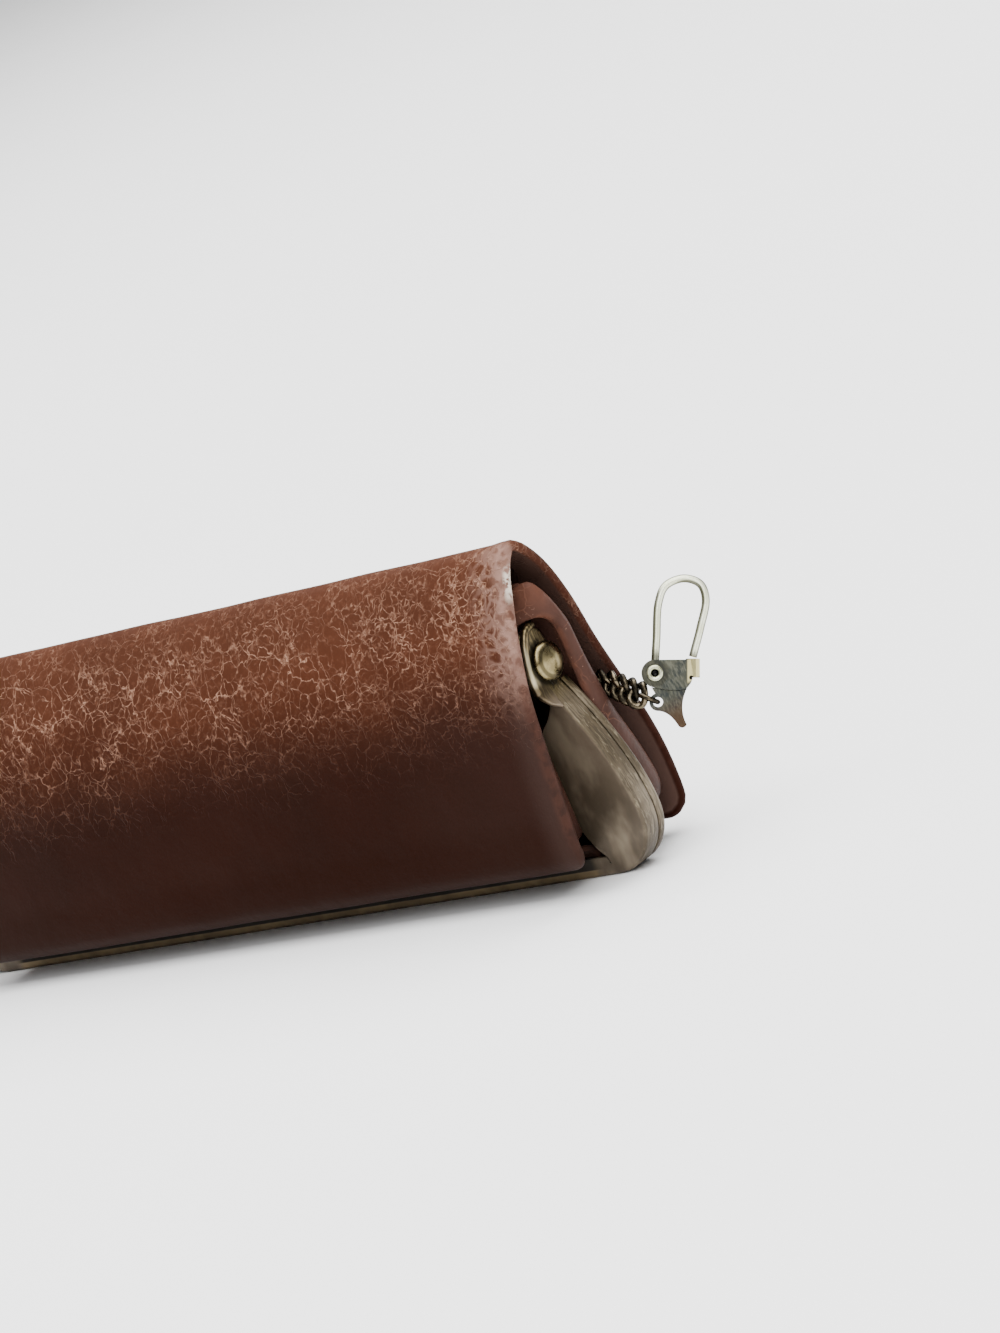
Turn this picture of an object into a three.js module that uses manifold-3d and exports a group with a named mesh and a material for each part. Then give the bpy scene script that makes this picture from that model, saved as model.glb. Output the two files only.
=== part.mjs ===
// Wallet clutch: a leather cover folded over a framed pouch, with a clip on a short chain.
// Millimetres, +Z up. It stands on its frame bar with the fold up. X runs along its length,
// the front faces -Y, and the origin is under the middle of the bar.

import * as THREE from 'three';
import { mergeVertices } from 'three/addons/utils/BufferGeometryUtils.js';
import Module from 'manifold-3d';

const wasm = await Module();
wasm.setup();

// Leather
const coverLength = 200;
const coverThickness = 2.2;
const coverCorner = 5;
const pouchThickness = 1.4;
const lipSetback = 8.5;
const gussetThickness = 1.6;
const gussetBulge = 1.8;
const gussetSetback = { front: 9.4, back: 0.4 };
const setbackTurn = { from: -5, to: 1.5 };
const gussetSeat = 0.5;

// Frame
const barHeight = 4.2;
const metal = 0.9;
const rimThickness = 1.4;
const frameFront = 3.5;
const frameBack = 3.5;
const partingPlane = 1.2;
const cornerReach = 7.6;
const cornerRadius = 12;
const armPull = { foot: { x: 107.6, z: 22 }, head: { x: 102.3, z: 33 } };
const earInset = 2.6;
const earFoot = 41.4;
const earThickness = 1.2;
const hinge = { y: -0.7, z: 46 };
const earNeckFoot = 36.5;
const gap = 0.3;

// Rivets and catch
const rivetHead = 4.1;
const rivetBrim = 0.4;
const rivetDome = 1.8;
const rivetLift = 0.4;
const rivetShank = 1.5;
const rivetTail = { radius: 2.5, thickness: 0.8 };
const catchLength = 14;

// Chain
const wire = 1.2;
const linkPitch = 2.4;
const linkWidth = 5.6;
const linkTwist = 0.66;
const linkBite = 0.12;
const endRing = 1.9;
const endRingWire = 1.0;
const linkCount = 9;
const linkSegments = 12;
const linkSides = 5;
const unturnedLink = 4;
const pocket = { y: 10.3, z: 36.2 };
const anchorRing = 2.4;
const anchorPin = 0.7;
const anchorPinSetback = 0.5;
const anchorLength = 2.2;

// Clip, in its own plane: x to the socket side, y up the loop, z out of the face
const clipTurn = 44;
const clipLean = 15;
const clipRoll = -23;
const clipThickness = 3.3;
const clipSlot = 1.8;
const loopWire = 1.2;
const loopRing = 2.0;
const eyeletTube = 1.1;
const eyeletBore = 0.75;
const eyeletFlange = 1.6;
const eyeletRim = 0.4;
const eyeletWeb = 0.4;
const tailThickness = 1.6;
const chainEye = { x: 0.6, y: -5.7, radius: 1.0 };
const socket = { x: 7.5, bottom: -0.8, top: 2.9, radius: 1.45 };

// The loop's wire: up from the eyelet, round the top and down to the socket
const loopRows = [
  { x: 0, y: loopRing },
  { x: 0.3, y: 7 },
  { x: 0.7, y: 14 },
  { x: 2.1, y: 17.4 },
  { x: 5.7, y: 18.9 },
  { x: 9.0, y: 17.8 },
  { x: 10.1, y: 14.8 },
  { x: 9.0, y: 9 },
  { x: 7.5, y: 3.3 },
];

const halfCover = coverLength / 2;

// The leather's ends are drawn in at the front, behind the frame, and full at the back
function leatherEnd(y) {
  const turn = THREE.MathUtils.smoothstep(y, setbackTurn.from, setbackTurn.to);
  return halfCover - THREE.MathUtils.lerp(gussetSetback.front, gussetSetback.back, turn);
}

const eyelet = new THREE.Vector3(halfCover + 11.7, 11.8, 35.2);

// The fold's height, and how far the front and the back stand from the middle plane. The back
// hangs lower than the front, at heights of its own.
const coverTop = { z: 71.2, y: 0.9 };
const coverRows = [
  { z: 6.6, backZ: 2.9, front: 14.2, back: 16.6 },
  { z: 9.4, backZ: 6.0, front: 16.0, back: 18.2 },
  { z: 18, backZ: 16, front: 15.6, back: 18.7 },
  { z: 26, front: 14.8, back: 17.3 },
  { z: 34, front: 13.8, back: 15.0 },
  { z: 44, front: 12.3, back: 12.4 },
  { z: 54, front: 9.3, back: 10.4 },
  { z: 62, front: 6.0, back: 8.2 },
  { z: 66.4, front: 4.0, back: 6.1 },
  { z: 69.8, front: 1.4, back: 3.4 },
];

// The flange's inner edge, from the ear down to the bar
const flangeRows = [
  { x: 96.9, z: 40 },
  { x: 96.0, z: 37.4 },
  { x: 94.0, z: 34.8 },
  { x: 91.3, z: 32.4 },
  { x: 89.6, z: 29.4 },
  { x: 88.8, z: 24 },
  { x: 89.2, z: 16 },
  { x: 90.5, z: 10.2 },
  { x: 92.4, z: 6.4 },
  { x: 94.5, z: 4.2 },
];

// The ears in the YZ plane: up the front edge, over the top and down the back edge
const frontEarRows = [
  { y: -3.5, z: 36.9 },
  { y: -5.4, z: 38.4 },
  { y: -6.6, z: 41 },
  { y: -6.7, z: 44 },
  { y: -5.9, z: 47.6 },
  { y: -4.7, z: 51 },
  { y: -3.0, z: 53.2 },
  { y: -0.6, z: 53.9 },
  { y: 0.9, z: 52.6 },
  { y: 2.0, z: 49.8 },
  { y: 2.9, z: 46.4 },
  { y: 2.6, z: 43.6 },
];
const backEarRows = [
  { y: -4.4, z: 43.3 },
  { y: -6.3, z: 44.6 },
  { y: -5.7, z: 47.6 },
  { y: -4.5, z: 50.8 },
  { y: -2.8, z: 52.8 },
  { y: -0.6, z: 53.4 },
  { y: 1.2, z: 52.0 },
  { y: 2.8, z: 48.6 },
  { y: 3.5, z: 44.0 },
];

// The pouch's rows start with the lips inside the frame and pass under the pouch
const pouchTop = { z: 62.6, y: 0.5 };
const pouchRows = [
  { z: 1.7, front: 2.3, back: 2.3 },
  { z: 4.6, front: 2.3, back: 2.3 },
  { z: 6.2, front: 4.4, back: 4.4 },
  { z: 8.2, front: 9.8, back: 10.2 },
  { z: 12, front: 13.2, back: 13.6 },
  { z: 20, front: 12.4, back: 12.6 },
  { z: 32, front: 11.0, back: 9.1 },
  { z: 44, front: 9.3, back: 7.3 },
  { z: 54, front: 6.5, back: 6.3 },
  { z: 60, front: 2.9, back: 3.6 },
];
const lipRows = 4;

// Each gusset closes an end round the frame's arm: the slot's edges and the panel's own edges
const slotTop = { z: 55.2, y: -0.7 };
const gussetTop = { z: 62.4, y: 0.5 };
const gussetRows = [
  { z: 9.6, slot: 3.9, front: 11.3, back: 11.7 },
  { z: 12.6, slot: 3.9, front: 13.1, back: 13.5 },
  { z: 20, slot: 3.9, front: 12.3, back: 12.5 },
  { z: 32, slot: 3.9, front: 10.9, back: 9.0 },
  { z: 38, slot: 3.9, front: 10.1, back: 8.0 },
  { z: 44, slot: 3.9, front: 9.2, back: 7.2 },
  { z: 49, slot: 3.9, front: 8.0, back: 6.8 },
  { z: 53, slot: 3.0, front: 6.7, back: 6.3 },
];

const leather = { color: 0x6b3a2a, roughness: 0.42, metalness: 0 };
const pouchLeather = { color: 0x5c3024, roughness: 0.5, metalness: 0 };
const antiqueBrass = { color: 0x7d6f55, roughness: 0.38, metalness: 0.9 };
const darkBrass = { color: 0x5d5240, roughness: 0.4, metalness: 0.9 };
const paleBrass = { color: 0xb4aa86, roughness: 0.3, metalness: 0.9 };

// Joins and cuts
function solid(geometry) {
  const bare = geometry.clone();
  bare.deleteAttribute('normal');
  bare.deleteAttribute('uv');
  const merged = mergeVertices(bare, 1e-4);
  const vertProperties = new Float32Array(merged.attributes.position.array);
  const corners = merged.index.array;
  const build = (flip) => {
    const triVerts = [];
    for (let i = 0; i < corners.length; i += 3) {
      const [a, b, c] = [corners[i], corners[i + 1], corners[i + 2]];
      const flat = a === b || b === c || c === a;
      if (!flat) triVerts.push(...(flip ? [b, a, c] : [a, b, c]));
    }
    const mesh = new wasm.Mesh({ numProp: 3, vertProperties, triVerts: new Uint32Array(triVerts) });
    return new wasm.Manifold(mesh);
  };
  const body = build(false);
  return body.volume() > 0 ? body : build(true);
}

function geometryOf(body) {
  const mesh = body.getMesh();
  const geometry = new THREE.BufferGeometry();
  geometry.setAttribute('position', new THREE.BufferAttribute(new Float32Array(mesh.vertProperties), 3));
  geometry.setIndex(Array.from(mesh.triVerts));
  geometry.computeVertexNormals();
  return geometry;
}

function piece(name, geometry, finish) {
  const mesh = new THREE.Mesh(geometry, new THREE.MeshStandardMaterial(finish));
  mesh.name = name;
  return mesh;
}

// A closed wall between two grids of points, outside(u, v) and inside(u, v)
function wall(outside, inside, uStations, vStations) {
  const across = vStations.length;
  const positions = [];
  for (const side of [outside, inside]) {
    for (const u of uStations) {
      for (const v of vStations) {
        positions.push(...side(u, v).toArray());
      }
    }
  }
  const layer = uStations.length * across;
  const index = [];
  const quad = (a, b, c, d) => index.push(a, b, c, a, c, d);
  const at = (i, j) => i * across + j;
  for (let i = 0; i + 1 < uStations.length; i += 1) {
    for (let j = 0; j + 1 < across; j += 1) {
      quad(at(i, j), at(i, j + 1), at(i + 1, j + 1), at(i + 1, j));
      quad(layer + at(i, j), layer + at(i + 1, j), layer + at(i + 1, j + 1), layer + at(i, j + 1));
    }
    const last = across - 1;
    quad(at(i, 0), at(i + 1, 0), layer + at(i + 1, 0), layer + at(i, 0));
    quad(at(i, last), layer + at(i, last), layer + at(i + 1, last), at(i + 1, last));
  }
  const end = uStations.length - 1;
  for (let j = 0; j + 1 < across; j += 1) {
    quad(at(0, j), layer + at(0, j), layer + at(0, j + 1), at(0, j + 1));
    quad(at(end, j), at(end, j + 1), layer + at(end, j + 1), layer + at(end, j));
  }
  const geometry = new THREE.BufferGeometry();
  geometry.setAttribute('position', new THREE.Float32BufferAttribute(positions, 3));
  geometry.setIndex(index);
  return geometryOf(solid(geometry));
}

const stations = (count, place = (t) => t) => Array.from({ length: count + 1 }, (_, i) => place(i / count));
const endToEnd = [-1, 0, 1];

// A folded profile in the YZ plane: up the front, over the top and down the back
function foldCurve(rows, top, frontKey = 'front', backKey = 'back') {
  const points = rows.map((row) => new THREE.Vector3(0, -row[frontKey], row.z));
  points.push(new THREE.Vector3(0, top.y, top.z));
  for (const row of [...rows].reverse()) {
    points.push(new THREE.Vector3(0, row[backKey], row.backZ ?? row.z));
  }
  return new THREE.CatmullRomCurve3(points, false, 'centripetal');
}

function inward(curve, u) {
  const t = curve.getTangent(u);
  return new THREE.Vector3(0, t.z, -t.y);
}

function outerCover() {
  const curve = foldCurve(coverRows, coverTop);
  const length = curve.getLength();
  const halfLength = (u) => {
    const fromEdge = Math.min(u, 1 - u) * length;
    const short = Math.max(coverCorner - fromEdge, 0);
    return halfCover - coverCorner + Math.sqrt(coverCorner ** 2 - short ** 2);
  };
  const point = (u, v, depth) => {
    const spread = curve.getUtoTmapping(u);
    const p = curve.getPoint(spread).addScaledVector(inward(curve, spread), depth);
    return p.setX(v * halfLength(u));
  };
  const outside = (u, v) => point(u, v, 0);
  const inside = (u, v) => point(u, v, coverThickness);
  const crowdEnds = (t) => 0.55 * t + 0.45 * (0.5 - 0.5 * Math.cos(Math.PI * t));
  return piece('outer_cover', wall(outside, inside, stations(46, crowdEnds), endToEnd), leather);
}

function pouch() {
  const curve = foldCurve(pouchRows, pouchTop);
  const segments = 2 * pouchRows.length;
  const halfLength = (u) => {
    const row = Math.min(u, 1 - u) * segments;
    const out = THREE.MathUtils.smoothstep(row, lipRows - 1.6, lipRows - 0.8);
    const wallEnd = leatherEnd(curve.getPoint(u).y) - gussetThickness - gussetSeat;
    return THREE.MathUtils.lerp(halfCover - lipSetback, wallEnd, out);
  };
  const point = (u, v, depth) => {
    return curve.getPoint(u).addScaledVector(inward(curve, u), depth).setX(v * halfLength(u));
  };
  const outside = (u, v) => point(u, v, 0);
  const inside = (u, v) => point(u, v, pouchThickness);
  return piece('pouch', wall(outside, inside, stations(3 * segments), endToEnd), pouchLeather);
}

function gusset(name, end) {
  const slotEdge = foldCurve(gussetRows, slotTop, 'slot', 'slot');
  const panelEdge = foldCurve(gussetRows, gussetTop);
  const point = (u, v, depth) => {
    const p = slotEdge.getPoint(u).lerp(panelEdge.getPoint(u), v);
    return p.setX(end * (leatherEnd(p.y) + gussetBulge * Math.sin(Math.PI * v) - depth));
  };
  const face = (u, v) => point(u, v, 0);
  const back = (u, v) => point(u, v, gussetThickness);
  return piece(name, wall(face, back, stations(26), stations(4)), pouchLeather);
}

// The frame's outline in the XZ plane, drawn on the right-hand side and mirrored
function armPath(path, side, inset, sense) {
  const reach = side * (halfCover + cornerReach - inset);
  const ear = side * (halfCover - earInset - inset);
  const [low, high] = [armPull.foot, armPull.head];
  const [lowX, highX] = [side * (low.x - inset), side * (high.x - inset)];
  if (sense > 0) path.bezierCurveTo(lowX, low.z, highX, high.z, ear, earFoot);
  else path.bezierCurveTo(highX, high.z, lowX, low.z, reach, cornerRadius);
}

function cornerArc(path, side, inset, sense) {
  const centre = side * (halfCover + cornerReach - cornerRadius);
  const [down, out] = [-Math.PI / 2, side > 0 ? 0 : -Math.PI];
  const [from, to] = sense > 0 ? [down, out] : [out, down];
  path.absarc(centre, cornerRadius, cornerRadius - inset, from, to, from > to);
}

function outerOutline(path, topZ) {
  path.moveTo(-(halfCover - earInset), topZ);
  path.lineTo(-(halfCover - earInset), earFoot);
  armPath(path, -1, 0, -1);
  cornerArc(path, -1, 0, -1);
  cornerArc(path, 1, 0, 1);
  armPath(path, 1, 0, 1);
  path.lineTo(halfCover - earInset, topZ);
}

function rimShape(topZ, thickness = rimThickness) {
  const path = new THREE.Shape();
  outerOutline(path, topZ);
  path.lineTo(halfCover - earInset - thickness, topZ);
  path.lineTo(halfCover - earInset - thickness, earFoot);
  armPath(path, 1, thickness, -1);
  cornerArc(path, 1, thickness, -1);
  cornerArc(path, -1, thickness, 1);
  armPath(path, -1, thickness, 1);
  path.lineTo(-(halfCover - earInset - thickness), topZ);
  return path;
}

function flangeShape() {
  const path = new THREE.Shape();
  const edge = new THREE.SplineCurve(flangeRows.map((row) => new THREE.Vector2(row.x, row.z))).getPoints(20);
  outerOutline(path, earFoot);
  for (const p of edge) path.lineTo(p.x, p.y);
  for (const p of edge.reverse()) path.lineTo(-p.x, p.y);
  return path;
}

function extrude(shape, depth, curveSegments) {
  return new THREE.ExtrudeGeometry(shape, { depth, bevelEnabled: false, curveSegments });
}

// A plate of an XZ outline that fills y from near to far
function plate(shape, near, far) {
  const geometry = extrude(shape, far - near, 10);
  geometry.rotateX(Math.PI / 2);
  geometry.translate(0, far, 0);
  return solid(geometry);
}

// A bar of a YZ outline that fills x from low to high
function crossBar(shape, low, high) {
  const geometry = extrude(shape, high - low, 4);
  geometry.rotateZ(Math.PI / 2);
  geometry.rotateY(Math.PI / 2);
  geometry.translate(low, 0, 0);
  return solid(geometry);
}

// An ear's YZ outline: its rounded edge, closed by the neck that joins it to the rim
function earShape(rows, neck) {
  const path = new THREE.Shape();
  path.moveTo(rows[0].y, rows[0].z);
  path.splineThru(rows.slice(1).map((row) => new THREE.Vector2(row.y, row.z)));
  for (const corner of neck) path.lineTo(corner.y, corner.z);
  return path;
}

function pinHoles(radius) {
  const geometry = new THREE.CylinderGeometry(radius, radius, 2 * coverLength, 14);
  geometry.rotateZ(Math.PI / 2);
  geometry.translate(0, hinge.y, hinge.z);
  return solid(geometry);
}

function frameHalf(name, near, far, flangeNear, ears) {
  const flange = plate(flangeShape(), flangeNear, flangeNear + metal);
  const rim = plate(rimShape(earFoot), near, far);
  const half = flange.add(rim).add(ears).subtract(pinHoles(rivetShank + gap));
  return piece(name, geometryOf(half), antiqueBrass);
}

function frameFrontHalf() {
  const seam = partingPlane - gap / 2;
  const neck = [{ y: seam, z: earFoot + gap }, { y: seam, z: frontEarRows[0].z }];
  const strip = plate(rimShape(slotTop.z), -hinge.z, hinge.z);
  const outline = crossBar(earShape(frontEarRows, neck), -coverLength, coverLength);
  return frameHalf('frame_front', -frameFront, seam, -frameFront, strip.intersect(outline));
}

function frameBackHalf() {
  const seam = partingPlane + gap / 2;
  const outerFace = halfCover - earInset - rimThickness - gap;
  const foot = earNeckFoot;
  const neck = [{ y: frameBack, z: foot }, { y: seam, z: foot }, { y: seam, z: earFoot + gap }];
  const outline = earShape(backEarRows, neck);
  let ears = crossBar(outline, outerFace - earThickness, outerFace);
  ears = ears.add(crossBar(outline, -outerFace, earThickness - outerFace));
  return frameHalf('frame_back', seam, frameBack, frameBack - metal, ears);
}

function hingeRivet(name, end) {
  const face = halfCover - earInset + rivetLift;
  const inner = halfCover - earInset - rimThickness - earThickness - 2 * gap;
  const dome = stations(6).map((t) => {
    const angle = (t * Math.PI) / 2;
    return new THREE.Vector2(rivetHead * Math.cos(angle), face + rivetBrim + rivetDome * Math.sin(angle));
  });
  dome[dome.length - 1].x = 0;
  const profile = [
    new THREE.Vector2(0, inner - rivetTail.thickness),
    new THREE.Vector2(rivetTail.radius, inner - rivetTail.thickness),
    new THREE.Vector2(rivetTail.radius, inner),
    new THREE.Vector2(rivetShank, inner),
    new THREE.Vector2(rivetShank, face),
    new THREE.Vector2(rivetHead, face),
    ...dome,
  ];
  const geometry = new THREE.LatheGeometry(profile, 20);
  geometry.rotateZ((-end * Math.PI) / 2);
  geometry.translate(0, hinge.y, hinge.z);
  return piece(name, geometryOf(solid(geometry)), antiqueBrass);
}

function frameCatch() {
  const lipGap = pouchRows[0].front - pouchThickness - gap;
  const height = barHeight - rimThickness - gap;
  const geometry = new THREE.BoxGeometry(catchLength, 2 * lipGap, height);
  geometry.translate(0, 0, rimThickness + gap + height / 2);
  return piece('frame_catch', geometry, antiqueBrass);
}

// A closed ring of wire along a closed curve
function ringOf(centreLine, segments, sides, radius) {
  const positions = [];
  const index = [];
  const curve = new THREE.CatmullRomCurve3(stations(segments).slice(0, -1).map(centreLine), true);
  const frames = curve.computeFrenetFrames(segments, true);
  for (let i = 0; i < segments; i += 1) {
    const centre = centreLine(i / segments);
    for (let k = 0; k < sides; k += 1) {
      const angle = (2 * Math.PI * k) / sides;
      const p = centre.clone().addScaledVector(frames.normals[i], radius * Math.cos(angle));
      positions.push(...p.addScaledVector(frames.binormals[i], radius * Math.sin(angle)).toArray());
      const next = (i + 1) % segments;
      const side = (k + 1) % sides;
      index.push(i * sides + k, i * sides + side, next * sides + side);
      index.push(i * sides + k, next * sides + side, next * sides + k);
    }
  }
  const geometry = new THREE.BufferGeometry();
  geometry.setAttribute('position', new THREE.Float32BufferAttribute(positions, 3));
  geometry.setIndex(index);
  return geometry;
}

const circle = (radius) => (t) => {
  return new THREE.Vector3(radius * Math.cos(2 * Math.PI * t), radius * Math.sin(2 * Math.PI * t), 0);
};

// A curb link lies in its own XY plane, and its twist lets the next link pass through
function twistedLink(t) {
  const angle = 2 * Math.PI * t;
  const halfWide = (linkWidth - wire) / 2;
  const lift = linkTwist * Math.sin(2 * angle);
  return new THREE.Vector3(linkHalf * Math.cos(angle), halfWide * Math.sin(angle), lift);
}

// The clip stands beside the wallet's end, turned to the front
const clipStand = new THREE.Group();
const clipTilt = new THREE.Group();
const clip = new THREE.Group();
clipStand.position.copy(eyelet);
clipStand.rotation.z = THREE.MathUtils.degToRad(clipTurn);
clipTilt.rotation.x = THREE.MathUtils.degToRad(90 - clipLean);
clip.rotation.z = THREE.MathUtils.degToRad(clipRoll);
clipStand.add(clipTilt);
clipTilt.add(clip);
clipStand.updateMatrixWorld(true);

// The chain lies flat in the pocket, leaves it at the cover's end and drops to the clip's eye
const pocketMouth = new THREE.Vector3(halfCover - 1, pocket.y, pocket.z - 0.3);
const eyeCentre = clip.localToWorld(new THREE.Vector3(chainEye.x, chainEye.y, 0));
const clipFace = new THREE.Vector3(0, 0, 1).transformDirection(clip.matrixWorld);
const drop = eyeCentre.clone().sub(pocketMouth).normalize();
const linkHalf = (linkPitch + wire - linkBite) / 2;

function linkPlace(position, along, across) {
  const out = new THREE.Vector3().crossVectors(along, across).normalize();
  const side = new THREE.Vector3().crossVectors(out, along);
  return new THREE.Matrix4().makeBasis(along, side, out).setPosition(position);
}

// The ring at the clip passes through its eye, square to the plate
const eyeSide = drop.clone().projectOnPlane(clipFace).normalize();
const ringCentre = eyeCentre.clone().addScaledVector(eyeSide, -endRing);
const ringNormal = new THREE.Vector3().crossVectors(clipFace, drop).normalize();
const ringHook = ringCentre.clone().addScaledVector(drop, -endRing + (wire + endRingWire) / 2 - linkBite);
const lastLink = ringHook.addScaledVector(drop, -linkHalf);
const chainRoute = new THREE.CatmullRomCurve3([
  lastLink,
  pocketMouth,
  pocketMouth.clone().setX(pocketMouth.x - 4),
  new THREE.Vector3(pocketMouth.x - linkCount * linkPitch, pocket.y, pocket.z),
]);
const linkPoint = (i) => chainRoute.getPointAt((i * linkPitch) / chainRoute.getLength());
const anchorCentre = linkPoint(linkCount - 1);
anchorCentre.x -= linkHalf + anchorRing - (wire + endRingWire) / 2 + linkBite;

function chain() {
  const link = ringOf(twistedLink, linkSegments, linkSides, wire / 2);
  const clipRing = ringOf(circle(endRing), linkSegments, linkSides, endRingWire / 2);
  const deepRing = ringOf(circle(anchorRing), linkSegments, linkSides, endRingWire / 2);
  const inPocket = new THREE.Vector3(0, 0, 1);
  let body = solid(clipRing.applyMatrix4(linkPlace(ringCentre, drop, clipFace)));
  for (let i = 0; i < linkCount; i += 1) {
    const along = linkPoint(i - 0.5 > 0 ? i - 0.5 : 0).sub(linkPoint(i + 0.5)).normalize();
    const across = inPocket.clone().lerp(ringNormal, Math.max(1 - i / unturnedLink, 0)).normalize();
    body = body.add(solid(link.clone().applyMatrix4(linkPlace(linkPoint(i), along, across))));
  }
  deepRing.rotateX(Math.PI / 2);
  body = body.add(solid(deepRing.translate(...anchorCentre.toArray())));
  return piece('chain', geometryOf(body), darkBrass);
}

function chainAnchor() {
  const geometry = new THREE.CylinderGeometry(anchorPin, anchorPin, anchorLength, 12);
  geometry.translate(anchorCentre.x - anchorPinSetback, pocket.y, pocket.z);
  return piece('chain_anchor', geometry, antiqueBrass);
}

// A plate of the clip, of an outline in its own plane
function clipPlate(shape, thickness) {
  const geometry = extrude(shape, thickness, 8);
  geometry.translate(0, 0, -thickness / 2);
  return solid(geometry);
}

function disc(x, y, radius, thickness) {
  const geometry = new THREE.CylinderGeometry(radius, radius, thickness, 18);
  geometry.rotateX(Math.PI / 2);
  geometry.translate(x, y, 0);
  return solid(geometry);
}

function headShape() {
  const path = new THREE.Shape();
  path.moveTo(socket.x - 0.4, 2.7);
  path.lineTo(-0.5, 2.65);
  path.absarc(0, 0, 2.7, 1.75, 4.3, false);
  path.quadraticCurveTo(2.6, -3.8, 5.8, -3.2);
  path.quadraticCurveTo(7.6, -2.2, socket.x, 0);
  return path;
}

function tailShape() {
  const path = new THREE.Shape();
  const lobe = chainEye.radius + 0.75;
  path.moveTo(4.2, -2.4);
  path.lineTo(-0.8, -2.6);
  path.absarc(chainEye.x, chainEye.y, lobe, 1.9, 4.6, false);
  path.quadraticCurveTo(2.8, -7.4, 4.7, -10.5);
  path.quadraticCurveTo(5.6, -11.2, 6.3, -10.2);
  path.quadraticCurveTo(4.4, -6.6, 6.6, -2.4);
  return path;
}

function swingShape() {
  const path = new THREE.Shape();
  path.moveTo(1.5, 0);
  path.lineTo(1.5, 6);
  path.lineTo(-6, 6);
  path.lineTo(-6, -1);
  return path;
}

function clipBody() {
  const boss = new THREE.CylinderGeometry(socket.radius, socket.radius, socket.top - socket.bottom, 14);
  boss.translate(socket.x, (socket.top + socket.bottom) / 2, 0);
  let body = clipPlate(headShape(), clipThickness).add(solid(boss));
  body = body.add(clipPlate(tailShape(), tailThickness));
  body = body.subtract(disc(0, 0, loopRing + loopWire / 2 + gap, clipSlot));
  body = body.subtract(clipPlate(swingShape(), clipSlot));
  body = body.subtract(disc(0, 0, eyeletTube + gap, 2 * clipThickness));
  body = body.subtract(disc(chainEye.x, chainEye.y, chainEye.radius, 2 * clipThickness));
  return piece('clip_body', geometryOf(body), darkBrass);
}

function clipEyelet() {
  const face = clipThickness / 2 + gap;
  const rim = face + eyeletRim;
  const corners = [
    [0, -eyeletWeb],
    [eyeletBore, -eyeletWeb],
    [eyeletBore, -rim],
    [eyeletFlange, -rim],
    [eyeletFlange, -face],
    [eyeletTube, -face],
    [eyeletTube, face],
    [eyeletFlange, face],
    [eyeletFlange, rim],
    [eyeletBore, rim],
    [eyeletBore, eyeletWeb],
    [0, eyeletWeb],
  ];
  const geometry = new THREE.LatheGeometry(corners.map(([r, h]) => new THREE.Vector2(r, h)), 16);
  geometry.rotateX(Math.PI / 2);
  return piece('clip_eyelet', geometryOf(solid(geometry)), paleBrass);
}

function clipLoop() {
  const centreLine = new THREE.CatmullRomCurve3(
    loopRows.map((row) => new THREE.Vector3(row.x, row.y, 0)),
    false,
    'centripetal',
  );
  const section = new THREE.Shape();
  section.absarc(0, 0, loopWire / 2, 0, 2 * Math.PI, false);
  const sweep = { extrudePath: centreLine, steps: 36, curveSegments: 4 };
  const leg = new THREE.ExtrudeGeometry(section, sweep);
  const ring = ringOf(circle(loopRing), 18, 8, loopWire / 2);
  return piece('clip_loop', geometryOf(solid(leg).add(solid(ring))), paleBrass);
}

const wallet = new THREE.Group();
wallet.add(outerCover(), pouch());
wallet.add(gusset('gusset_right', 1), gusset('gusset_left', -1));
wallet.add(frameFrontHalf(), frameBackHalf());
wallet.add(hingeRivet('hinge_rivet_right', 1), hingeRivet('hinge_rivet_left', -1), frameCatch());
wallet.add(chain(), chainAnchor());
clip.add(clipBody(), clipEyelet(), clipLoop());
wallet.add(clipStand);

export default wallet;
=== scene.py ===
"""Looks of the wallet clutch: crackled leather cover, framed pouch, chain and clip."""

import math

import bpy
from mathutils import Matrix, Vector, noise


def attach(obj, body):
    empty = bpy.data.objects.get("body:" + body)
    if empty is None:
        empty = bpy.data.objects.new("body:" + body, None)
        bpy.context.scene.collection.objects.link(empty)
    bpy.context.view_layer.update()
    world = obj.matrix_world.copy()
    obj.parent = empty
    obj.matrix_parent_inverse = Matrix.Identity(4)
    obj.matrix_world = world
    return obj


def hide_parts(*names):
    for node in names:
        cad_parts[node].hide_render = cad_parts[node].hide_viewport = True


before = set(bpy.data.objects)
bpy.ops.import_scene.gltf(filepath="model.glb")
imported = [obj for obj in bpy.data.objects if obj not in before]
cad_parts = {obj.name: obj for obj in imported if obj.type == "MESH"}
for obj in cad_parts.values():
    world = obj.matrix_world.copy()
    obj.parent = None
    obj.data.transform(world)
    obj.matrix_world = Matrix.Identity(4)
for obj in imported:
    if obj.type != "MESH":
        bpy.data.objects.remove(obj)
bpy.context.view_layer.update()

MM = 0.001
PER_METRE = 1000
ACROSS = Vector((1, 0, 0))
UPWARD = Vector((0, 0, 1))

# Cover: sizes in millimetres, rows of height, front and back, waves of rise and length
half_cover = 100
cover_step = 1.5
cover_thickness = 2.2
cover_corner = 5
cover_top = (71.2, 0.9)
cover_back_heights = (2.9, 6.0, 16)
cover_rows = [
    (5.9, 14.0, 16.6),
    (9.4, 16.0, 18.2),
    (18, 15.6, 18.7),
    (26, 14.8, 17.3),
    (34, 13.8, 15.0),
    (44, 12.3, 12.4),
    (54, 9.3, 10.4),
    (62, 6.0, 8.2),
    (66.4, 4.0, 6.1),
    (69.8, 1.4, 3.4),
]
cover_waves = [(0.5, 34), (0.2, 13)]
back_fullness = 0.9
flare_start = 80
flare_rise = 0.2
end_hem = 5.5
foot_hem = 4.5
hem_rise = 0.15

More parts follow.
